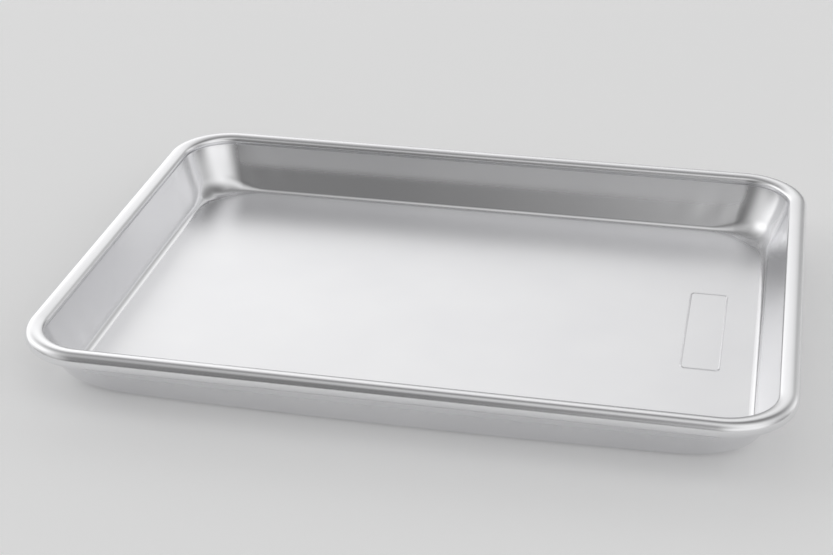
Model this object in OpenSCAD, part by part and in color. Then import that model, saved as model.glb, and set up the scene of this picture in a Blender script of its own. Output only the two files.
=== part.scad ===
// Jelly roll pan: one pressed aluminium sheet with sloping walls and a rolled rim,
// and the round steel wire that the rim is rolled round.
// Millimetres. The origin is the middle of the footprint, on the table the pan rests on.
// +X runs along the length, +Y towards the back, +Z up.

/* [Pan] */
// Length over the rolled rim, outer edge to outer edge
pan_length = 328; // [260:1:420]
// Width over the rolled rim, outer edge to outer edge
pan_width = 246; // [180:1:320]
// Height from the table to the top of the rim
pan_height = 27.7; // [22:0.1:45]
// Thickness of the sheet
sheet = 1; // [0.8:0.1:1.4]

/* [Walls] */
// Slope of the walls, up from the floor, in degrees
wall_angle = 68; // [62:1:78]
// Radius of the bend between floor and wall, on the outside
cove_r = 4.4; // [3:0.1:7]
// How far the corners spread outward for each millimetre of wall height
corner_lean = 0.55; // [0.1:0.05:0.7]

/* [Rim] */
// Radius of the rim's corners at the outer edge
rim_corner_r = 31.2; // [26:0.1:45]
// Width of the flat shoulder between the wall and the roll
shoulder_w = 1.2; // [0.8:0.1:4]
// How far the shoulder lies below the middle of the roll
shoulder_drop = 1.5; // [0.6:0.1:1.7]
// Open seam under the roll, where the edge of the sheet ends
seam_gap = 0.5; // [0.3:0.1:0.9]

/* [Rim wire] */
// Diameter of the wire inside the roll
wire_d = 5.1; // [4:0.1:6]
// Free space between the wire and the roll, all round
wire_clearance = 0.1; // [0.05:0.05:0.3]
// Gap between the two ends of the wire, in the middle of the back
wire_end_gap = 2; // [0.5:0.5:6]

/* [Pressed panel] */
// Long side of the raised outline on the floor, along the pan's width
panel_l = 72; // [40:1:100]
// Short side of the raised outline, along the pan's length
panel_w = 18; // [14:1:30]
// From the right outer edge of the rim to the middle of the outline
panel_edge = 42; // [40:1:80]
// From the pan's middle line to the middle of the outline, towards the front
panel_front = 0; // [-20:1:20]
// Corner radius of the outline
panel_r = 2.5; // [2:0.5:6]
// Width of the raised line
ridge_w = 1; // [0.6:0.1:1.6]
// Height of the raised line above the floor
ridge_h = 0.3; // [0.2:0.05:0.5]

/* [Hidden] */
$fn = 96;

// Sizes are kept to hundredths, so that faces that meet share the same numbers.
function grid(x) = round(x * 100) / 100;

// How far a piece laps into the one that carries it, hidden in the sheet
lap = sheet / 5;
// The roll: outer and inner radius, and its middle height
roll_r = wire_d / 2 + wire_clearance + sheet;
roll_in = roll_r - sheet;
roll_z = pan_height - roll_r;
// The shoulder: its top and its underside
shoulder_z = roll_z - shoulder_drop;
wall_top = shoulder_z - sheet;
// The wall's horizontal thickness and its shift outward for each millimetre of height
wall_t = grid(sheet / sin(wall_angle));
wall_cot = 1 / tan(wall_angle);
// The inner radius of the bend, how far up it goes, and where the wall's foot sits in it
cove_in = cove_r - sheet;
cove_top = cove_r - cove_in * cos(wall_angle + 2.5);
wall_foot = cove_r - (cove_r + cove_in) / 2 * cos(wall_angle - 5.6);
// The leaning part of the walls: its height and where it starts
wall_h = floor(10 * (wall_top - cove_top - lap)) / 10;
wall_low = wall_top - wall_h;
spread = corner_lean * wall_h;
// Centres of the rim's corners and of the floor's corners
rim_cx = pan_length / 2 - rim_corner_r;
rim_cy = pan_width / 2 - rim_corner_r;
floor_cx = rim_cx - spread;
floor_cy = rim_cy - spread;
// Distances out from those centres: the shoulder's inner edge, then the wall's inner face
crease_r = rim_corner_r - 2 * roll_r - shoulder_w;
wall_in_top = grid(crease_r - sheet * wall_cot);
wall_in_low = grid(wall_in_top + spread - wall_h * wall_cot);
wall_in_foot = wall_in_low - (wall_low - wall_foot) * wall_cot;
// Centre of the bend, a hair outward so that the wall crosses it cleanly
cove_x = grid(wall_in_low + (cove_r - wall_low) * wall_cot - cove_in / sin(wall_angle)) + 0.02;
// Where the shoulder ends, half way through the roll's sheet
roll_mid = (roll_r + roll_in) / 2;
under = shoulder_drop + sheet;
end_top = sqrt(max(0, roll_mid * roll_mid - shoulder_drop * shoulder_drop));
end_low = sqrt(max(0, roll_mid * roll_mid - under * under));
// Angle of the seam from straight down, just under the shoulder
seam_angle = acos(under / roll_r) - (seam_gap / 2 + 1.5 * lap) / roll_mid * 180 / PI;

// Copies a corner piece of the first quarter to all four corners.
module four_corners() {
    for (mx = [0, 1], my = [0, 1])
        mirror([mx, 0, 0])
            mirror([0, my, 0])
                children();
}

// Carries a profile along both long sides; x of the profile points outward.
module long_sides(half_length, cy) {
    for (my = [0, 1])
        mirror([0, my, 0])
            translate([-half_length, cy, 0])
                rotate([90, 0, 90])
                    linear_extrude(height = 2 * half_length)
                        children();
}

// Carries a profile along both short sides; x of the profile points outward.
module short_sides(half_length, cx) {
    for (mx = [0, 1])
        mirror([mx, 0, 0])
            translate([cx, half_length, 0])
                rotate([90, 0, 0])
                    linear_extrude(height = 2 * half_length)
                        children();
}

// Section of the floor's edge: flat sheet, the bend, and the foot of the wall.
module floor_section() {
    square([cove_x, sheet]);
    intersection() {
        translate([cove_x, cove_r])
            difference() {
                circle(r = cove_r);
                circle(r = cove_in);
            }
        translate([cove_x, 0])
            square([2 * cove_r, cove_top]);
    }
    polygon([
        [wall_in_foot, wall_foot],
        [wall_in_foot + wall_t, wall_foot],
        [wall_in_low + wall_t, wall_low],
        [wall_in_low, wall_low]
    ]);
}

// The flat floor with the bend all round it.
module floor_tray() {
    translate([-floor_cx, -floor_cy, 0])
        cube([2 * floor_cx, 2 * floor_cy, sheet]);
    long_sides(floor_cx, floor_cy)
        floor_section();
    short_sides(floor_cy, floor_cx)
        floor_section();
    four_corners()
        translate([floor_cx, floor_cy, 0])
            rotate_extrude(angle = 90)
                floor_section();
}

// Straight stretch of wall, wider at the top, where the corners have spread apart.
module wall_panel(half_low) {
    intersection() {
        translate([-half_low - spread, 0, 0])
            rotate([90, 0, 90])
                linear_extrude(height = 2 * (half_low + spread))
                    polygon([
                        [wall_in_low, 0],
                        [wall_in_low + wall_t, 0],
                        [wall_in_top + wall_t + spread, wall_h],
                        [wall_in_top + spread, wall_h]
                    ]);
        translate([0, 2 * rim_corner_r, 0])
            rotate([90, 0, 0])
                linear_extrude(height = 2 * rim_corner_r)
                    polygon([
                        [-half_low, 0],
                        [half_low, 0],
                        [half_low + spread, wall_h],
                        [-half_low - spread, wall_h]
                    ]);
    }
}

// Corner of the wall: a quarter ring whose centre moves outward as it rises.
module wall_corner() {
    lean = [[1, 0, corner_lean, 0], [0, 1, corner_lean, 0], [0, 0, 1, 0], [0, 0, 0, 1]];
    multmatrix(lean)
        rotate_extrude(angle = 90)
            polygon([
                [wall_in_low, 0],
                [wall_in_low + wall_t, 0],
                [wall_in_top + wall_t, wall_h],
                [wall_in_top, wall_h]
            ]);
}

// The sloping walls between the bend and the shoulder.
module walls() {
    translate([0, 0, wall_low]) {
        for (my = [0, 1])
            mirror([0, my, 0])
                translate([0, floor_cy, 0])
                    wall_panel(floor_cx);
        for (mx = [0, 1])
            mirror([mx, 0, 0])
                translate([floor_cx, 0, 0])
                    rotate([0, 0, -90])
                        wall_panel(floor_cy);
        four_corners()
            translate([floor_cx, floor_cy, 0])
                wall_corner();
    }
}

// Section of the rim: shoulder, and the roll with its seam underneath.
module rim_section() {
    polygon([
        [wall_in_top, wall_top],
        [crease_r, shoulder_z],
        [rim_corner_r - roll_r - end_top, shoulder_z],
        [rim_corner_r - roll_r - end_low, wall_top]
    ]);
    translate([rim_corner_r - roll_r, roll_z])
        difference() {
            circle(r = roll_r);
            circle(r = roll_in);
            rotate(180 - seam_angle)
                translate([-seam_gap / 2, roll_in - sheet / 2])
                    square([seam_gap, 2 * sheet]);
        }
}

// The shoulder and the rolled rim, all round.
module rim() {
    long_sides(rim_cx, rim_cy)
        rim_section();
    short_sides(rim_cy, rim_cx)
        rim_section();
    four_corners()
        translate([rim_cx, rim_cy, 0])
            rotate_extrude(angle = 90)
                rim_section();
}

// Rectangle with rounded corners, centred.
module rounded_plate(l, w, r) {
    square([l, w - 2 * r], center = true);
    square([l - 2 * r, w], center = true);
    for (sx = [-1, 1], sy = [-1, 1])
        translate([sx * (l / 2 - r), sy * (w / 2 - r)])
            circle(r = r);
}

// Raised outline pressed into the floor near the right end; its field is plain.
module panel_outline() {
    translate([pan_length / 2 - panel_edge, -panel_front, sheet - lap])
        linear_extrude(height = ridge_h + lap)
            difference() {
                rounded_plate(panel_w, panel_l, panel_r);
                rounded_plate(panel_w - 2 * ridge_w, panel_l - 2 * ridge_w, panel_r - ridge_w);
            }
}

// The pressed sheet: floor, walls and rolled rim in one piece.
module pan() {
    color("silver")
        union() {
            floor_tray();
            walls();
            rim();
            panel_outline();
        }
}

// The wire inside the roll, its ends meeting in the middle of the back.
module rim_wire() {
    run = rim_corner_r - roll_r;
    back = rim_cx - wire_end_gap / 2;
    color("dimgray")
        translate([0, 0, roll_z])
            union() {
                four_corners()
                    translate([rim_cx, rim_cy, 0])
                        rotate_extrude(angle = 90)
                            translate([run, 0])
                                circle(d = wire_d);
                short_sides(rim_cy, rim_cx)
                    translate([run, 0])
                        circle(d = wire_d);
                translate([-rim_cx, -rim_cy - run, 0])
                    rotate([0, 90, 0])
                        cylinder(d = wire_d, h = 2 * rim_cx);
                for (mx = [0, 1])
                    mirror([mx, 0, 0])
                        translate([wire_end_gap / 2, rim_cy + run, 0])
                            rotate([0, 90, 0])
                                cylinder(d = wire_d, h = back);
            }
}

pan();
rim_wire();
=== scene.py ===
"""Looks of the jelly roll pan: satin aluminium sheet, rolled rim and pressed panel.

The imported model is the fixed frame. The pan's sheet is a profile carried round the rim's path,
worked out on a grid. Lengths are in millimetres until a mesh is written, which is in metres.
"""

import logging
from dataclasses import dataclass, field
from enum import Enum
from typing import Any

import bpy
import numpy as np
from mathutils import Matrix, Vector


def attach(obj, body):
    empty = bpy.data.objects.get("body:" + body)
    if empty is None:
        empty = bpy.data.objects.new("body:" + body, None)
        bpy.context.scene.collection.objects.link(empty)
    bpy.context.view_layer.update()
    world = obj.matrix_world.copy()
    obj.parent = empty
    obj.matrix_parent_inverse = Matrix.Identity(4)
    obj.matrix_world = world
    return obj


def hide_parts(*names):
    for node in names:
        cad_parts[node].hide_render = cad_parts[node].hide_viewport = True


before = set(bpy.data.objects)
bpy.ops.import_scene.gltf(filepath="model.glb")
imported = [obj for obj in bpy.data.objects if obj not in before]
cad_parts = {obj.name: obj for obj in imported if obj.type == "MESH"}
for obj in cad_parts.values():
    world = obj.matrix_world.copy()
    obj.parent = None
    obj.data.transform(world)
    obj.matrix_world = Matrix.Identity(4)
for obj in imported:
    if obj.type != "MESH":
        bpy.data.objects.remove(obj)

MM = 0.001
log = logging.getLogger("jelly_roll_pan")


class Region(Enum):
    """Stretches of the sheet that were worked differently and so look different."""

    FLOOR = 0
    WALL = 1
    ROLL = 2


def linear(hex_colour: str) -> tuple[float, float, float, float]:
    """Turns an sRGB hex colour into linear RGBA.

    Args:
        hex_colour: Colour as "#RRGGBB".

    Returns:
        Linear red, green and blue, and an alpha of 1.
    """
    srgb = np.array([int(hex_colour[i : i + 2], 16) for i in (1, 3, 5)]) / 255
    lin = np.where(srgb <= 0.04045, srgb / 12.92, ((srgb + 0.055) / 1.055) ** 2.4)
    return (float(lin[0]), float(lin[1]), float(lin[2]), 1.0)


def add_node(
    tree: bpy.types.NodeTree,
    kind: str,
    inputs: dict[Any, Any] | None = None,
    **settings: Any,
) -> bpy.types.Node:
    """Adds a node with its settings and links.

    Args:
        tree: Node tree that the node goes into.
        kind: Node type, such as "ShaderNodeMath".
        inputs: Value or output socket for each input, by its name or number.
        **settings: Properties of the node.

    Returns:
        The new node.
    """
    node = tree.nodes.new(kind)
    for name, value in settings.items():
        setattr(node, name, value)
    for key, value in (inputs or {}).items():
        if isinstance(value, bpy.types.NodeSocket):
            tree.links.new(value, node.inputs[key])
        else:
            node.inputs[key].default_value = value
    return node


def new_material(name: str) -> tuple[bpy.types.Material, bpy.types.NodeTree]:
    """Makes an empty node material.

    Args:
        name: Name of the material.

    Returns:
        The material and its node tree.
    """
    material = bpy.data.materials.new(name)
    material.use_nodes = True
    material.node_tree.nodes.clear()
    return material, material.node_tree


def arc(
    centre: tuple[float, float], radius: float, start: float, end: float, steps: int
) -> np.ndarray:
    """Points on an arc: centre + radius * (cos, sin) of angles spaced evenly.

    Args:
        centre: Centre of the arc in the section's plane.
        radius: Radius in millimetres.
        start: First angle in degrees.
        end: Last angle in degrees.
        steps: Number of points, both ends among them.

    Returns:
        Array of (steps, 2) points.
    """
    angle = np.radians(np.linspace(start, end, steps))
    return np.stack(
        [centre[0] + radius * np.cos(angle), centre[1] + radius * np.sin(angle)], axis=1
    )


def line(start: tuple[float, float], end: tuple[float, float], steps: int) -> np.ndarray:
    """Points on a straight line, without its two ends.

    Args:
        start: Point before the first one.
        end: Point after the last one.
        steps: Number of points between them.

    Returns:
        Array of (steps, 2) points.
    """
    share = (np.arange(steps) + 1)[:, None] / (steps + 1)
    return np.array(start) * (1 - share) + np.array(end) * share


def smooth_step(x: np.ndarray) -> np.ndarray:
    """Eases from 0 to 1: 3 x^2 - 2 x^3 between 0 and 1, flat outside."""
    x = np.clip(x, 0, 1)
    return x * x * (3 - 2 * x)


def write_mesh(
    name: str,
    points: np.ndarray,
    faces: list[np.ndarray],
    uvs: list[np.ndarray],
    attributes: dict[str, np.ndarray],
) -> bpy.types.Object:
    """Puts computed arrays into a smooth-shaded mesh object at the origin.

    Args:
        name: Name of the object.
        points: (n, 3) vertex places in millimetres.
        faces: Arrays of vertex numbers, each of (m, 3) or (m, 4).
        uvs: For each array of faces, the (m, corners, 2) surface coordinates in metres.
        attributes: Number for each vertex, by the attribute's name.

    Returns:
        The object, linked into the scene.
    """
    corner_index = np.concatenate([f.ravel() for f in faces]).astype(np.int32)
    corners = np.concatenate([np.full(len(f), f.shape[1]) for f in faces]).astype(np.int32)
    starts = np.concatenate([[0], np.cumsum(corners)[:-1]]).astype(np.int32)
    mesh = bpy.data.meshes.new(name)
    mesh.vertices.add(len(points))
    mesh.vertices.foreach_set("co", (points * MM).astype(np.float32).ravel())
    mesh.loops.add(len(corner_index))
    mesh.loops.foreach_set("vertex_index", corner_index)
    mesh.polygons.add(len(corners))
    mesh.polygons.foreach_set("loop_start", starts)
    mesh.polygons.foreach_set("use_smooth", np.ones(len(corners), bool))
    mesh.update(calc_edges=True)
    layer = mesh.uv_layers.new(name="surface")
    layer.data.foreach_set(
        "uv", np.concatenate([u.reshape(-1, 2) for u in uvs]).astype(np.float32).ravel()
    )
    for key, values in attributes.items():
        attribute = mesh.attributes.new(key, "FLOAT", "POINT")
        attribute.data.foreach_set("value", values.astype(np.float32))
    mesh.validate()
    piece = bpy.data.objects.new(name, mesh)
    bpy.context.scene.collection.objects.link(piece)
    return piece


@dataclass(frozen=True)
class SatinAluminium:
    """Rolled and pressed aluminium sheet, left bare.

    The mill's rolls leave a fine grain that blurs every reflection into a soft sheen. Drawing
    the sheet over the die leaves the upper half of the long walls duller than the rest, with
    faint streaks along them. The curling tool burnishes the rim, so the roll is shinier, with
    small scuffs.
    """

    colour: str = "#EEEEEF"
    dull_colour: str = "#E6E6E8"
    floor_roughness: float = 0.27
    wall_roughness: float = 0.16
    drawn_roughness: float = 0.38
    roll_roughness: float = 0.19
    # Real grain is a few hundredths of a millimetre wide, too fine to show: drawn at 0.5 mm.
    grain_width: float = 0.5
    grain_length: float = 7.0
    grain_blur: float = 0.05
    cloud_size: float = 45.0
    scuff_size: float = 2.2
    # Noise values at which a scuff begins and is full, its dulling and its depth in the relief.
    scuff_from: float = 0.62
    scuff_to: float = 0.70
    scuff_blur: float = 0.05
    scuff_depth: float = 0.2
    relief_height: float = 0.01
    relief_strength: float = 0.25

    def make(self) -> bpy.types.Material:
        """Builds the material.

        Returns:
            The finished material.
        """
        material, tree = new_material("satin_aluminium")
        place = add_node(tree, "ShaderNodeTexCoord")
        floor = add_node(tree, "ShaderNodeAttribute", attribute_name="floor_part")
        roll = add_node(tree, "ShaderNodeAttribute", attribute_name="roll_part")
        drawn = add_node(tree, "ShaderNodeAttribute", attribute_name="drawn_part")
        along = add_node(
            tree,
            "ShaderNodeMapping",
            {
                "Vector": place.outputs["UV"],
                "Scale": (1 / (self.grain_length * MM), 1 / (self.grain_width * MM), 1.0),
            },
        )
        flat = add_node(
            tree,
            "ShaderNodeMapping",
            {
                "Vector": place.outputs["Object"],
                "Scale": (
                    1 / (self.grain_length * MM),
                    1 / (self.grain_width * MM),
                    1 / (self.grain_width * MM),
                ),
            },
        )
        # Inputs 4 and 5 are this node's two vectors.
        where = add_node(
            tree,
            "ShaderNodeMix",
            {0: floor.outputs["Fac"], 4: along.outputs["Vector"], 5: flat.outputs["Vector"]},
            data_type="VECTOR",
        )
        grain = add_node(
            tree,
            "ShaderNodeTexNoise",
            {"Vector": where.outputs[1], "Scale": 1.0, "Detail": 3.0, "Roughness": 0.55},
        )
        cloud = add_node(
            tree,
            "ShaderNodeTexNoise",
            {
                "Vector": place.outputs["Object"],
                "Scale": 1 / (self.cloud_size * MM),
                "Detail": 2.0,
            },
        )
        scuff = add_node(
            tree,
            "ShaderNodeTexNoise",
            {
                "Vector": place.outputs["Object"],
                "Scale": 1 / (self.scuff_size * MM),
                "Detail": 5.0,
                "Roughness": 0.7,
            },
        )
        scuffed = add_node(
            tree,
            "ShaderNodeMapRange",
            {
                "Value": scuff.outputs["Fac"],
                "From Min": self.scuff_from,
                "From Max": self.scuff_to,
            },
        )
        on_roll = add_node(
            tree,
            "ShaderNodeMath",
            {0: scuffed.outputs["Result"], 1: roll.outputs["Fac"]},
            operation="MULTIPLY",
        )
        # Inputs 6 and 7 are its two colours.
        tint = add_node(tree, "ShaderNodeMix", {"Factor": cloud.outputs["Fac"]}, data_type="RGBA")
        tint.inputs[6].default_value = linear(self.colour)
        tint.inputs[7].default_value = linear(self.dull_colour)
        dulled = add_node(
            tree,
            "ShaderNodeMapRange",
            {
                "Value": drawn.outputs["Fac"],
                "To Min": self.wall_roughness,
                "To Max": self.drawn_roughness,
            },
        )
        worked = add_node(
            tree,
            "ShaderNodeMapRange",
            {
                "Value": floor.outputs["Fac"],
                "To Min": dulled.outputs["Result"],
                "To Max": self.floor_roughness,
            },
        )
        burnished = add_node(
            tree,
            "ShaderNodeMapRange",
            {
                "Value": roll.outputs["Fac"],
                "To Min": worked.outputs["Result"],
                "To Max": self.roll_roughness,
            },
        )
        grained = add_node(
            tree,
            "ShaderNodeMath",
            {0: grain.outputs["Fac"], 1: self.grain_blur, 2: burnished.outputs["Result"]},
            operation="MULTIPLY_ADD",
        )
        rough = add_node(
            tree,
            "ShaderNodeMath",
            {0: on_roll.outputs["Value"], 1: self.scuff_blur, 2: grained.outputs["Value"]},
            operation="MULTIPLY_ADD",
        )
        relief = add_node(
            tree,
            "ShaderNodeMath",
            {0: on_roll.outputs["Value"], 1: -self.scuff_depth, 2: grain.outputs["Fac"]},
            operation="MULTIPLY_ADD",
        )
        bump = add_node(
            tree,
            "ShaderNodeBump",
            {
                "Height": relief.outputs["Value"],
                "Strength": self.relief_strength,
                "Distance": self.relief_height * MM,
            },
        )
        surface = add_node(
            tree,
            "ShaderNodeBsdfPrincipled",
            {
                "Base Color": tint.outputs[2],
                "Metallic": 1.0,
                "Roughness": rough.outputs["Value"],
                "Normal": bump.outputs["Normal"],
            },
        )
        add_node(tree, "ShaderNodeOutputMaterial", {"Surface": surface.outputs["BSDF"]})
        return material


@dataclass(frozen=True)
class GalvanisedSteel:
    """Hot-dip galvanised steel wire.

    The zinc cools into flat crystals a few millimetres across, each a slightly different dull
    grey.
    """

    light: str = "#C3C7CA"
    dark: str = "#A9AEB2"
    crystal_size: float = 3.0
    smooth: float = 0.38
    rough: float = 0.52

    def make(self) -> bpy.types.Material:
        """Builds the material.

        Returns:
            The finished material.
        """
        material, tree = new_material("galvanised_steel")
        place = add_node(tree, "ShaderNodeTexCoord")
        crystals = add_node(
            tree,
            "ShaderNodeTexVoronoi",
            {"Vector": place.outputs["Object"], "Scale": 1 / (self.crystal_size * MM)},
        )
        shade = add_node(tree, "ShaderNodeSeparateColor", {"Color": crystals.outputs["Color"]})
        tint = add_node(
            tree, "ShaderNodeMix", {"Factor": shade.outputs["Red"]}, data_type="RGBA"
        )
        tint.inputs[6].default_value = linear(self.light)
        tint.inputs[7].default_value = linear(self.dark)
        dullness = add_node(
            tree,
            "ShaderNodeMapRange",
            {"Value": shade.outputs["Green"], "To Min": self.smooth, "To Max": self.rough},
        )
        surface = add_node(
            tree,
            "ShaderNodeBsdfPrincipled",
            {
                "Base Color": tint.outputs[2],
                "Metallic": 1.0,
                "Roughness": dullness.outputs["Result"],
            },
        )
        add_node(tree, "ShaderNodeOutputMaterial", {"Surface": surface.outputs["BSDF"]})
        return material


@dataclass(frozen=True)
class TableTop:
    """Matt pale laminate that the pan stands on; it keeps the pan's shadow.

    A slight glow makes it paler, to the eye and in what the metal mirrors alike.
    """

    colour: str = "#F2F2F2"
    glow: float = 0.1

    def make(self) -> bpy.types.Material:
        """Builds the material; from below it is clear, so that the underside can be seen.

        Returns:
            The finished material.
        """
        material, tree = new_material("pale_laminate")
        path = add_node(tree, "ShaderNodeLightPath")
        sides = add_node(tree, "ShaderNodeNewGeometry")
        mirrored = add_node(
            tree,
            "ShaderNodeMath",
            {0: path.outputs["Is Glossy Ray"], 1: path.outputs["Is Transmission Ray"]},
            operation="MAXIMUM",
        )
        shown = add_node(
            tree,
            "ShaderNodeMath",
            {0: path.outputs["Is Camera Ray"], 1: mirrored.outputs["Value"]},
            operation="MAXIMUM",
        )
        strength = add_node(
            tree,
            "ShaderNodeMath",
            {0: shown.outputs["Value"], 1: self.glow},
            operation="MULTIPLY",
        )
        matt = add_node(tree, "ShaderNodeBsdfDiffuse", {"Color": linear(self.colour)})
        glow = add_node(tree, "ShaderNodeEmission", {"Strength": strength.outputs["Value"]})
        both = add_node(
            tree, "ShaderNodeAddShader", {0: matt.outputs["BSDF"], 1: glow.outputs["Emission"]}
        )
        clear = add_node(tree, "ShaderNodeBsdfTransparent")
        surface = add_node(
            tree,
            "ShaderNodeMixShader",
            {
                "Fac": sides.outputs["Backfacing"],
                1: both.outputs["Shader"],
                2: clear.outputs["BSDF"],
            },
        )
        add_node(tree, "ShaderNodeOutputMaterial", {"Surface": surface.outputs["Shader"]})
        return material


@dataclass(frozen=True)
class SoftSpot:
    """A bright area of the light tent, brightest in its middle.

    Args:
        azimuth: Degrees from the back (+Y) towards the right (+X).
        elevation: Degrees above the table.
        strength: Brightness of its middle.
    """

    azimuth: float
    elevation: float
    strength: float

    def axis(self) -> tuple[float, float, float]:
        """Direction of the spot's middle as a unit vector."""
        a, e = np.radians(self.azimuth), np.radians(self.elevation)
        return (
            float(np.sin(a) * np.cos(e)),
            float(np.cos(a) * np.cos(e)),
            float(np.sin(e)),
        )


@dataclass(frozen=True)
class TentCloth:
    """White cloth of a light tent, lit from outside by eleven soft boxes.

    It is brightest behind the pan and on the left, and dark low in front, where the camera
    stands and the cloth is open. The sharpness says how fast a spot fades from its middle.
    """

    sharpness: float = 12.0
    spots: tuple[SoftSpot, ...] = (
        SoftSpot(0, 35, 0.9),  # behind the pan, high: the floor mirrors it
        SoftSpot(50, 10, 1.0),  # behind on the right
        SoftSpot(85, 35, 0.5),  # right, high
        SoftSpot(120, 10, 0.9),  # right, low
        SoftSpot(125, 50, 0.8),  # front right, high
        SoftSpot(158, 18, 0.9),  # front right, beside the camera
        SoftSpot(180, 78, 0.7),  # overhead
        SoftSpot(230, 18, 0.6),  # front left
        SoftSpot(270, 35, 1.2),  # left, high
        SoftSpot(290, 5, 1.0),  # left, low
        SoftSpot(325, 15, 1.3),  # behind on the left
    )

    def make(self) -> bpy.types.Material:
        """Builds the material: the sum of strength * exp(sharpness * (cos angle - 1)).

        Returns:
            The finished material.
        """
        material, tree = new_material("tent_cloth")
        place = add_node(tree, "ShaderNodeTexCoord")
        way = add_node(
            tree, "ShaderNodeVectorMath", {0: place.outputs["Object"]}, operation="NORMALIZE"
        )
        total: Any = 0.0
        for spot in self.spots:
            near = add_node(
                tree,
                "ShaderNodeVectorMath",
                {0: way.outputs["Vector"], 1: spot.axis()},
                operation="DOT_PRODUCT",
            )
            power = add_node(
                tree,
                "ShaderNodeMath",
                {0: near.outputs["Value"], 1: self.sharpness, 2: -self.sharpness},
                operation="MULTIPLY_ADD",
            )
            fade = add_node(
                tree, "ShaderNodeMath", {0: power.outputs["Value"]}, operation="EXPONENT"
            )
            total = add_node(
                tree,
                "ShaderNodeMath",
                {0: fade.outputs["Value"], 1: spot.strength, 2: total},
                operation="MULTIPLY_ADD",
            ).outputs["Value"]
        glow = add_node(tree, "ShaderNodeEmission", {"Strength": total})
        add_node(tree, "ShaderNodeOutputMaterial", {"Surface": glow.outputs["Emission"]})
        return material


@dataclass(frozen=True)
class RimPath:
    """The way round the pan that the sheet's section is carried along.

    Each step has an anchor, given as shares of the corner centres, and the outward direction.
    On a straight side the anchor moves evenly from one corner centre to the next; in a corner
    it stays and the direction turns by 90 degrees.
    """

    side_steps: int = 56
    end_steps: int = 44
    corner_steps: int = 36

    def steps(self) -> tuple[np.ndarray, np.ndarray]:
        """Works out the steps, anticlockwise from the middle of the back.

        Returns:
            Anchors (n, 2) as shares from -1 to 1, and outward directions (n, 2).
        """
        half = self.side_steps // 2
        anchors, angles = [], []

        def straight(a: tuple[float, float], b: tuple[float, float], turn: float, n: int) -> None:
            """Adds n steps from a up to, but not at, b, all facing turn degrees."""
            share = np.arange(n)[:, None] / n
            anchors.append(np.array(a) * (1 - share) + np.array(b) * share)
            angles.append(np.full(n, turn))

        def corner(a: tuple[float, float], turn: float) -> None:
            """Adds a corner at a, turning by 90 degrees from turn."""
            n = self.corner_steps
            anchors.append(np.tile(np.array(a, float), (n, 1)))
            angles.append(turn + 90 * np.arange(n) / n)

        straight((0, 1), (-1, 1), 90, half)
        corner((-1, 1), 90)
        straight((-1, 1), (-1, -1), 180, self.end_steps)
        corner((-1, -1), 180)
        straight((-1, -1), (1, -1), 270, self.side_steps)
        corner((1, -1), 270)
        straight((1, -1), (1, 1), 360, self.end_steps)
        corner((1, 1), 360)
        straight((1, 1), (0, 1), 450, half)
        turn = np.radians(np.concatenate(angles))
        return np.concatenate(anchors), np.stack([np.cos(turn), np.sin(turn)], axis=1)


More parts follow.
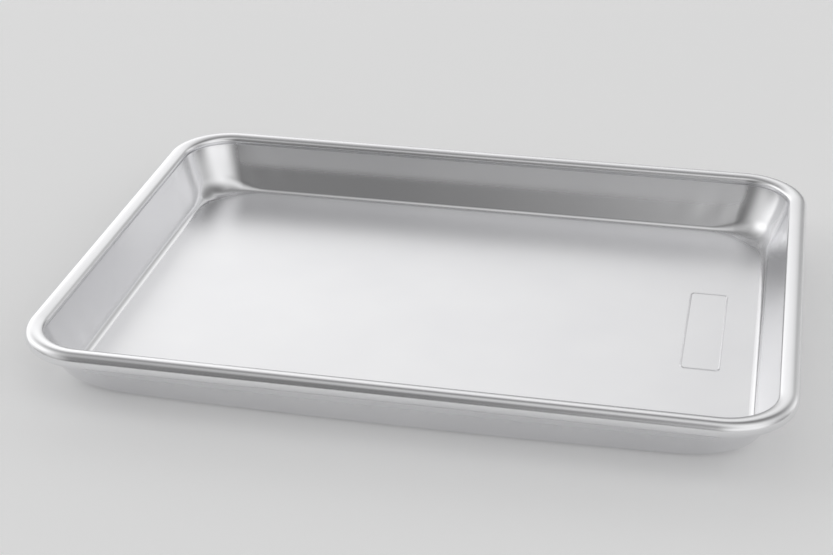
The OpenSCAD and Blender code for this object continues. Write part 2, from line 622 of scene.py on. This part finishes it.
@dataclass
class PressedSheet:
    """The pan's one sheet: floor, bend, sloping walls, shoulder and roll, with its thickness."""

    length: float = 328.0
    width: float = 246.0
    height: float = 27.7
    sheet: float = 1.0
    wall_angle: float = 68.0
    bend_radius: float = 4.4
    spread: float = 9.9
    corner_radius: float = 31.2
    roll_radius: float = 3.65
    shoulder_width: float = 1.2
    shoulder_drop: float = 1.5
    seam_gap: float = 0.5
    # Degrees round the roll from the shoulder's underside to the seam.
    seam_lead: float = 10.0
    # How far the surface is kept inside the solid's box.
    inset: float = 0.01
    # The roll is flatter on top and swells inward over the shoulder: radius and reach of its
    # flat top in degrees, radius of its inner side, and of the groove where it meets the wall.
    top_radius: float = 7.6
    top_from: float = 84.0
    top_to: float = 116.0
    inner_side: float = 2.3
    groove_round: float = 0.4
    # Share of the spread that the corners lose on the way down to the floor.
    corner_taper: float = 0.35
    # How much wider the bend is in the corners; the distances along the rim, from the middle of
    # the corner, at which it begins to widen and has its full width.
    corner_bend: float = 9.0
    corner_reach: float = 34.0
    corner_full: float = 8.0
    # Height above which drawing has dulled the long walls, and how softly that begins.
    draw_line: float = 13.3
    draw_fade: float = 3.0
    belly: float = 0.45
    # Puckers beside the corners: height, length of a wave, turn of the wave up the wall in
    # radians, and where along the rim from the corner they begin and end, with their fades.
    pucker: float = 0.12
    pucker_length: float = 17.0
    pucker_turn: float = 2.2
    pucker_from: float = 18.0
    pucker_rise: float = 10.0
    pucker_to: float = 64.0
    pucker_fall: float = 30.0
    # Front wall's foot: forward shift in the middle, how much less it is at the ends, and how
    # much lower than the wall the stretch is that it fades over.
    front_bulge: float = 0.9
    front_bow: float = 2.6
    bow_short: float = 2.0
    # How far the walls' springing and spreading reach up past the shoulder's top.
    groove_rise: float = 0.8
    floor_rings: int = 9
    path: RimPath = field(default_factory=RimPath)
    finish: SatinAluminium = field(default_factory=SatinAluminium)

    @property
    def wall_top(self) -> float:
        """Height at which the walls end, under the shoulder."""
        return self.height - self.roll_radius - self.shoulder_drop - self.sheet

    def section(self, bend_radius: float) -> tuple[np.ndarray, np.ndarray, np.ndarray]:
        """Works out the sheet's section from the floor's top edge round to its bottom edge.

        Out is measured from the floor's corner centre, up from the table. The bend is two arcs
        round one centre and the walls are straight lines tangent to them. The roll's outside is
        three arcs that run into each other, with a fourth as the groove at the top of the wall.
        Its inside is a circle, with a gap under the shoulder.

        Args:
            bend_radius: Radius of the bend, on the outside.

        Returns:
            Points (n, 2) as (out, up), which of them lie on the wall, and the region of each.
        """
        slope = np.radians(self.wall_angle)
        sin, cot = np.sin(slope), 1 / np.tan(slope)
        roll, inside = self.roll_radius - self.inset, self.roll_radius - self.sheet
        mid = (self.corner_radius + self.spread - self.roll_radius, self.height - self.roll_radius)
        step = mid[1] - self.shoulder_drop
        crease = mid[0] - self.roll_radius - self.shoulder_width
        bend_out = crease - (step - bend_radius) * cot - (bend_radius - self.sheet) / sin
        bend = (bend_out, bend_radius)
        lean = self.wall_angle - 90

        top_bend = arc(bend, bend_radius - self.sheet, -90, lean, 16)
        side = self.inner_side
        first, last = np.radians([self.top_from, self.top_to])
        # The flat top's centre lies low enough that its highest point is level with the rim.
        top = (
            mid[0] + (roll - self.top_radius) * np.cos(first),
            self.height - self.inset - self.top_radius,
        )
        brow = (
            top[0] + (self.top_radius - side) * np.cos(last),
            top[1] + (self.top_radius - side) * np.sin(last),
        )
        low = (mid[0], top[1] + (self.top_radius - roll) * np.sin(first))
        groove, meet = self._groove((crease, step), brow, slope)
        top_groove = arc(groove, self.groove_round, lean, meet - 180, 8)
        inner_side = arc(brow, side, meet, self.top_to, 18)[1:]
        flat_top = arc(top, self.top_radius, self.top_to, self.top_from, 14)[1:]
        under = self.shoulder_drop + self.sheet
        seam = 270 - (np.degrees(np.arccos(under / roll)) - self.seam_lead)
        wide = np.degrees(self.seam_gap / 2 / roll)
        tight = np.degrees(self.seam_gap / 2 / inside)
        outer = arc(low, roll, self.top_from, seam + wide - 360, 56)[1:]
        inner = arc(mid, inside, seam + tight - 360, seam - tight, 44)
        tail = arc(mid, roll, seam - wide, 180 + np.degrees(np.arcsin(under / roll)), 3)
        low_crease = (crease - self.sheet * cot + self.sheet / sin, step - self.sheet)
        under_crease = self._under_crease(low_crease, slope)
        low_bend = arc(bend, bend_radius, lean, -90, 16)

        pieces = [
            (top_bend, Region.WALL),
            (line(top_bend[-1], top_groove[0], 19), Region.WALL),
            (top_groove, Region.WALL),
            (inner_side, Region.ROLL),
            (flat_top, Region.ROLL),
            (outer, Region.ROLL),
            (inner, Region.ROLL),
            (tail, Region.ROLL),
            (line(tail[-1], under_crease[0], 1), Region.WALL),
            (under_crease, Region.WALL),
            (line(under_crease[-1], low_bend[0], 14), Region.WALL),
            (low_bend, Region.WALL),
        ]
        points = np.concatenate([p for p, _ in pieces])
        region = np.concatenate([np.full(len(p), r.value) for p, r in pieces])
        wall = np.concatenate(
            [np.full(len(p), k in (0, 1, 9, 10, 11)) for k, (p, _) in enumerate(pieces)]
        )
        return points, wall, region

    def _groove(
        self, wall: tuple[float, float], brow: tuple[float, float], slope: float
    ) -> tuple[tuple[float, float], float]:
        """Fits the groove's arc between the wall and the roll's inner side.

        Its centre is its radius away from the wall's line and the sum of both radii away from
        the brow's centre, which gives a quadratic for its place along the wall.

        Args:
            wall: A point on the wall's inner face.
            brow: Centre of the roll's inner side.
            slope: The wall's slope in radians.

        Returns:
            The groove's centre, and the angle at which the inner side meets it in degrees.
        """
        along = np.array([np.cos(slope), np.sin(slope)])
        inward = np.array([-np.sin(slope), np.cos(slope)])
        start = np.array(wall) + self.groove_round * inward - np.array(brow)
        reach = self.inner_side + self.groove_round
        half = start @ along
        place = -half - np.sqrt(half**2 - start @ start + reach**2)
        offset = start + place * along
        meet = float(np.degrees(np.arctan2(offset[1], offset[0]))) % 360
        return (float(brow[0] + offset[0]), float(brow[1] + offset[1])), meet

    def _under_crease(self, corner: tuple[float, float], slope: float) -> np.ndarray:
        """Small round under the shoulder: an arc tangent to its underside and to the wall.

        Args:
            corner: Where the two lines would meet.
            slope: The wall's slope in radians.

        Returns:
            Array of (5, 2) points, from the shoulder to the wall.
        """
        radius = 0.3
        centre = (corner[0] + radius * np.tan(slope / 2), corner[1] - radius)
        return arc(centre, radius, 90, 90 + np.degrees(slope), 5)

    def _climb(self, up: np.ndarray) -> np.ndarray:
        """How far up the wall a height is: 0 at the bend, 1 at the groove."""
        low = self.bend_radius - self.sheet
        high = self.wall_top + self.sheet + self.groove_rise
        return np.clip((up - low) / (high - low), 0, 1)

    def _spread_at(self, up: np.ndarray) -> np.ndarray:
        """How far the corner centres have spread at a height, eased at both ends."""
        return self.spread * (1 - self.corner_taper * (1 - smooth_step(self._climb(up))))

    def _spring(self, near: np.ndarray, up: np.ndarray) -> np.ndarray:
        """How far the walls have sprung out of flat after pressing.

        They belly outward by belly * 4 s (1 - s), s being the share of their height. Beside
        the corners the squeezed sheet is left with soft puckers: a sine of the distance from
        the corner, turned a little with the height, that dies away along the wall.

        Args:
            near: Distance (n) of each step from the middle of the nearest corner.
            up: Heights (n, m) of the points.

        Returns:
            Shift outward (n, m) of each point.
        """
        share = self._climb(up)
        hump = 4 * share * (1 - share)
        begin = smooth_step((near - self.pucker_from) / self.pucker_rise)
        fade = begin * smooth_step((self.pucker_to - near) / self.pucker_fall)
        turn = self.pucker_turn * share
        wave = np.sin(2 * np.pi * near[:, None] / self.pucker_length + turn)
        return hump * (self.belly + self.pucker * fade[:, None] * wave)

    def _bow(self, anchor: np.ndarray, way: np.ndarray, up: np.ndarray) -> np.ndarray:
        """How far the front wall stands out of true: its foot is bowed, its top is straight.

        The foot's shift is bulge - bow * x^2, x being the share of the front's half length. It
        fades with the height up to the shoulder, and round the corners with the square of the
        direction's forward part.

        Args:
            anchor: Anchors (n, 2) of the path.
            way: Outward directions (n, 2) of the path.
            up: Heights (n, m) of the points.

        Returns:
            Shift outward (n, m) of each point.
        """
        foot = self.front_bulge - self.front_bow * anchor[:, 0] ** 2
        forward = np.maximum(-way[:, 1], 0) ** 2
        run = self.wall_top - self.bow_short
        fade = np.clip(1 - (up - self.bend_radius / 2) / run, 0, 1)
        return (foot * forward)[:, None] * fade

    def _round_length(self, anchor: np.ndarray, way: np.ndarray) -> np.ndarray:
        """Distance run along the roll's middle at each step, and at the end of the round."""
        centre = np.array([self.length, self.width]) / 2 - self.corner_radius
        rim = anchor * centre + (self.corner_radius - self.roll_radius) * way
        gap = np.linalg.norm(np.roll(rim, -1, axis=0) - rim, axis=1)
        return np.concatenate([[0], np.cumsum(gap)])

    def build(self) -> bpy.types.Object:
        """Carries the section round the path and closes the floor's two faces.

        The section is blended from the one with the narrow bend, on the straight sides, to the
        one with the wide bend, in the corners. A point is anchor * (corner centre + spread) +
        (out - spread) * direction. The floor's rings are the innermost ring shrunk towards the
        middle, which is one point.

        Returns:
            The finished piece.
        """
        plain, wall, region = self.section(self.bend_radius)
        wide = self.section(self.bend_radius + self.corner_bend)[0]
        anchor, way = self.path.steps()
        around = self._round_length(anchor, way)
        middle = around[:-1][np.abs(np.abs(way[:, 0]) - np.abs(way[:, 1])) < 1e-6]
        near = np.min(np.abs(around[:-1, None] - middle[None, :]), axis=1)
        blend = smooth_step((self.corner_reach - near) / (self.corner_reach - self.corner_full))
        profile = plain + blend[:, None, None] * (wide - plain)
        up = profile[:, :, 1]
        shift = np.where(wall, self._spread_at(up), self.spread)
        centre = np.array([self.length, self.width]) / 2 - self.corner_radius - self.spread
        out = profile[:, :, 0] - shift + self._bow(anchor, way, up)
        out = out + np.where(wall, self._spring(near, up), 0)
        level = anchor[:, None, :] * (centre + shift[:, :, None])
        level = level + out[:, :, None] * way[:, None, :]
        body = np.concatenate([level, up[:, :, None]], axis=2)
        share = (np.arange(self.floor_rings) + 1) / (self.floor_rings + 1)
        shrink = np.array([1.0, 1.0, 0.0])
        top = body[:, :1] * (shrink * share[:, None] + (1 - shrink))
        low = body[:, -1:] * (shrink * share[::-1, None] + (1 - shrink))
        grid = np.concatenate([top, body, low], axis=1)
        count, rows = grid.shape[:2]
        poles = np.array([[0, 0, self.sheet], [0, 0, 0.0]])
        points = np.concatenate([grid.reshape(-1, 3), poles])

        i = np.arange(count)
        nxt = (i + 1) % count
        j = np.arange(rows - 1)
        a = (i[:, None] * rows + j).ravel()
        b = (i[:, None] * rows + j + 1).ravel()
        c = (nxt[:, None] * rows + j + 1).ravel()
        d = (nxt[:, None] * rows + j).ravel()
        quads = np.stack([a, b, c, d], axis=1)
        last = rows - 1
        top_fan = np.stack([np.full(count, count * rows), i * rows, nxt * rows], axis=1)
        low_fan = np.stack(
            [np.full(count, count * rows + 1), nxt * rows + last, i * rows + last], axis=1
        )

        around = around * MM
        across = np.zeros(rows)
        across[1:] = np.cumsum(np.linalg.norm(np.diff(grid[0], axis=0), axis=1)) * MM
        u0 = np.repeat(around[:-1], rows - 1)
        u1 = np.repeat(around[1:], rows - 1)
        v0 = np.tile(across[:-1], count)
        v1 = np.tile(across[1:], count)
        quad_uv = np.stack(
            [np.stack(p, axis=1) for p in ((u0, v0), (u0, v1), (u1, v1), (u1, v0))], axis=1
        )
        mid = (around[:-1] + around[1:]) / 2
        zero, far = np.zeros(count), np.full(count, across[-1])
        top_uv = np.stack(
            [np.stack(p, axis=1) for p in ((mid, zero), (around[:-1], zero), (around[1:], zero))],
            axis=1,
        )
        low_uv = np.stack(
            [np.stack(p, axis=1) for p in ((mid, far), (around[1:], far), (around[:-1], far))],
            axis=1,
        )
        row_region = np.full(rows, Region.FLOOR.value)
        row_region[self.floor_rings + 1 : -self.floor_rings - 1] = region[1:-1]
        each = np.concatenate([np.tile(row_region, count), [Region.FLOOR.value] * 2])
        worn = smooth_step((grid[:, :, 2] - self.draw_line) / (2 * self.draw_fade) + 0.5)
        worn = worn * ((1 - blend) * way[:, 1] ** 2)[:, None]
        piece = write_mesh(
            "pressed_sheet",
            points,
            [quads, top_fan, low_fan],
            [quad_uv, top_uv, low_uv],
            {
                "floor_part": (each == Region.FLOOR.value).astype(float),
                "roll_part": (each == Region.ROLL.value).astype(float),
                "drawn_part": np.concatenate([worn.ravel(), [0, 0]]),
            },
        )
        piece.data.materials.append(self.finish.make())
        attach(piece, "root")
        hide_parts("pan")
        return piece


@dataclass
class PressedPanel:
    """Raised outline pressed into the floor near the right end; its field is bare."""

    middle: tuple[float, float] = (122.0, 0.0)
    size: tuple[float, float] = (18.0, 72.0)
    corner_radius: float = 2.5
    ridge_width: float = 1.0
    ridge_height: float = 0.3
    floor_top: float = 1.0
    # How far inside its outline the field lies over the floor, and how far outside it the
    # surface dips under, with the slope and length of that dip.
    field_rise: float = 0.02
    rim_dip: float = 0.06
    dip_slope: float = 0.3
    dip_length: float = 0.4
    depth: float = 0.5
    grid_step: float = 0.12

    def _marks(self, half: float) -> np.ndarray:
        """Grid lines across one side, close together over the ridge and its corners."""
        inner = half - self.corner_radius - self.ridge_width / 2
        fine = np.arange(inner, half + 3 * self.grid_step, self.grid_step)
        coarse = np.linspace(-inner, inner, max(4, int(half / 1.5)))[1:-1]
        return np.concatenate([-fine[::-1], coarse, fine])

    def _rise(self, x: np.ndarray, y: np.ndarray) -> np.ndarray:
        """Height above the floor.

        The distance from the rounded rectangle is max(q, 0) as a length, plus min(max(q), 0),
        less the radius, where q is |place| - half size + radius. The ridge is a raised cosine
        of that distance; outside it the surface dips into the floor.

        Args:
            x: Places across, from the middle.
            y: Places along, from the middle.

        Returns:
            Height of each point over the floor's top.
        """
        qx = np.abs(x) - self.size[0] / 2 + self.corner_radius
        qy = np.abs(y) - self.size[1] / 2 + self.corner_radius
        away = np.hypot(np.maximum(qx, 0), np.maximum(qy, 0)) - self.corner_radius
        away = away + np.minimum(np.maximum(qx, qy), 0)
        ridge = (away + self.ridge_width / 2) / (self.ridge_width / 2)
        hump = 0.5 + 0.5 * np.cos(np.pi * np.clip(ridge, -1, 1))
        foot = np.where(ridge > 0, -self.rim_dip, self.field_rise)
        rise = foot + (self.ridge_height - foot) * hump
        dip = -self.rim_dip - self.dip_slope * np.minimum(away, self.dip_length)
        return np.where(away > 0, dip, rise)

    def build(self, finish: bpy.types.Material) -> bpy.types.Object:
        """Makes the panel as a closed slab whose top is the height field.

        Args:
            finish: The sheet's own material.

        Returns:
            The finished piece.
        """
        xs, ys = self._marks(self.size[0] / 2), self._marks(self.size[1] / 2)
        x, y = np.meshgrid(xs, ys, indexing="ij")
        top = np.stack(
            [x + self.middle[0], y + self.middle[1], self.floor_top + self._rise(x, y)], axis=2
        )
        low = top.copy()
        low[:, :, 2] = self.floor_top - self.depth
        nx, ny = x.shape
        points = np.concatenate([top.reshape(-1, 3), low.reshape(-1, 3)])
        i, j = np.meshgrid(np.arange(nx - 1), np.arange(ny - 1), indexing="ij")
        a = (i * ny + j).ravel()
        face = np.stack([a, a + ny, a + ny + 1, a + 1], axis=1)
        under = face[:, ::-1] + nx * ny
        ring = np.concatenate(
            [
                np.arange(nx - 1) * ny,
                (nx - 1) * ny + np.arange(ny - 1),
                np.arange(nx - 1, 0, -1) * ny + ny - 1,
                np.arange(ny - 1, 0, -1),
            ]
        )
        after = np.roll(ring, -1)
        side = np.stack([ring, ring + nx * ny, after + nx * ny, after], axis=1)
        faces = np.concatenate([face, under, side])
        piece = write_mesh(
            "pressed_panel",
            points,
            [faces],
            [points[faces][:, :, :2] * MM],
            {"floor_part": np.ones(len(points))},
        )
        piece.data.materials.append(finish)
        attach(piece, "root")
        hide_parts("pan")
        return piece


@dataclass
class RimWire:
    """The wire inside the roll: the solid from the frame, dressed."""

    node: str = "rim_wire"
    finish: GalvanisedSteel = field(default_factory=GalvanisedSteel)

    def dress(self) -> bpy.types.Object:
        """Gives the frame's own piece its material.

        Returns:
            The dressed piece.
        """
        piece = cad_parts[self.node]
        piece.data.materials.clear()
        piece.data.materials.append(self.finish.make())
        return piece


@dataclass
class Studio:
    """Table, light tent, lamp and camera.

    The table, the tent and the lamp are in metres. The camera's angles are in degrees, and its
    distance, its aim and its lens are in millimetres.
    """

    table_size: float = 6.0
    table_gap: float = 0.0001
    tent_radius: float = 3.2
    tent_columns: int = 72
    tent_rows: int = 18
    lamp_place: tuple[float, float, float] = (-0.5, 0.5, 2.2)
    lamp_size: float = 1.6
    lamp_power: float = 0.5
    yaw: float = 12.135
    pitch: float = 27.485
    roll: float = -0.319
    distance: float = 843.285
    target: tuple[float, float, float] = (-17.882, 26.787, 0.0)
    lens: float = 75.29

    def build(self) -> None:
        """Makes everything that isn't part of the object."""
        self._table()
        self._tent()
        self._lamp()
        self._camera()
        world = bpy.data.worlds.new("studio")
        bpy.context.scene.world = world
        world.use_nodes = True
        world.node_tree.nodes["Background"].inputs["Color"].default_value = linear("#FFFFFF")
        world.node_tree.nodes["Background"].inputs["Strength"].default_value = 1.0
        bpy.context.scene.view_settings.view_transform = "Standard"

    def _table(self) -> None:
        """Lays the table just under the pan's base."""
        half, low = self.table_size / 2 / MM, -self.table_gap / MM
        points = np.array(
            [[-half, -half, low], [half, -half, low], [half, half, low], [-half, half, low]]
        )
        face = np.array([[0, 1, 2, 3]])
        table = write_mesh("table", points, [face], [points[face][:, :, :2] * MM], {})
        table.data.materials.append(TableTop().make())

    def _tent(self) -> None:
        """Sets a half sphere over the table: radius * (cos e sin a, cos e cos a, sin e)."""
        a = np.radians(np.linspace(0, 360, self.tent_columns + 1))
        e = np.radians(np.linspace(0, 90, self.tent_rows + 1))
        a, e = np.meshgrid(a, e, indexing="ij")
        points = self.tent_radius / MM * np.stack(
            [np.cos(e) * np.sin(a), np.cos(e) * np.cos(a), np.sin(e)], axis=2
        )
        n = e.shape[1]
        i, j = np.meshgrid(np.arange(self.tent_columns), np.arange(n - 1), indexing="ij")
        k = (i * n + j).ravel()
        faces = np.stack([k, k + 1, k + n + 1, k + n], axis=1)
        flat = points.reshape(-1, 3)
        tent = write_mesh("light_tent", flat, [faces], [flat[faces][:, :, :2] * MM], {})
        tent.data.materials.append(TentCloth().make())
        tent.visible_camera = False

    def _lamp(self) -> None:
        """Hangs one soft lamp overhead, a little behind and to the left."""
        data = bpy.data.lights.new("soft_box", "AREA")
        data.shape = "SQUARE"
        data.size = self.lamp_size
        data.energy = self.lamp_power
        lamp = bpy.data.objects.new("soft_box", data)
        bpy.context.scene.collection.objects.link(lamp)
        lamp.location = self.lamp_place
        lamp.rotation_mode = "QUATERNION"
        lamp.rotation_quaternion = (-lamp.location).to_track_quat("-Z", "Y")

    def _camera(self) -> None:
        """Stands the camera where the photograph's proportions put it."""
        yaw, pitch, roll = (float(np.radians(v)) for v in (self.yaw, self.pitch, self.roll))
        ahead = Vector(
            (-np.sin(yaw) * np.cos(pitch), np.cos(yaw) * np.cos(pitch), -np.sin(pitch))
        )
        right = ahead.cross(Vector((0, 0, 1))).normalized()
        up = right.cross(ahead)
        side = right * np.cos(roll) + up * np.sin(roll)
        above = up * np.cos(roll) - right * np.sin(roll)
        data = bpy.data.cameras.new("camera")
        data.lens = self.lens
        data.sensor_width = 36.0
        data.clip_start = 0.02
        camera = bpy.data.objects.new("camera", data)
        bpy.context.scene.collection.objects.link(camera)
        place = (Vector(self.target) - ahead * self.distance) * MM
        turn = Matrix((side, above, -ahead)).transposed().to_4x4()
        camera.matrix_world = Matrix.Translation(place) @ turn
        bpy.context.scene.camera = camera


def main() -> None:
    logging.basicConfig(level=logging.INFO, format="%(name)s: %(message)s")
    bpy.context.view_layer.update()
    sheet = PressedSheet().build()
    log.info("%s: %d faces", sheet.name, len(sheet.data.polygons))
    panel = PressedPanel().build(sheet.data.materials[0])
    log.info("%s: %d faces", panel.name, len(panel.data.polygons))
    wire = RimWire().dress()
    log.info("%s: %d faces", wire.name, len(wire.data.polygons))
    Studio().build()
    log.info("studio ready")


if __name__ == "__main__":
    main()
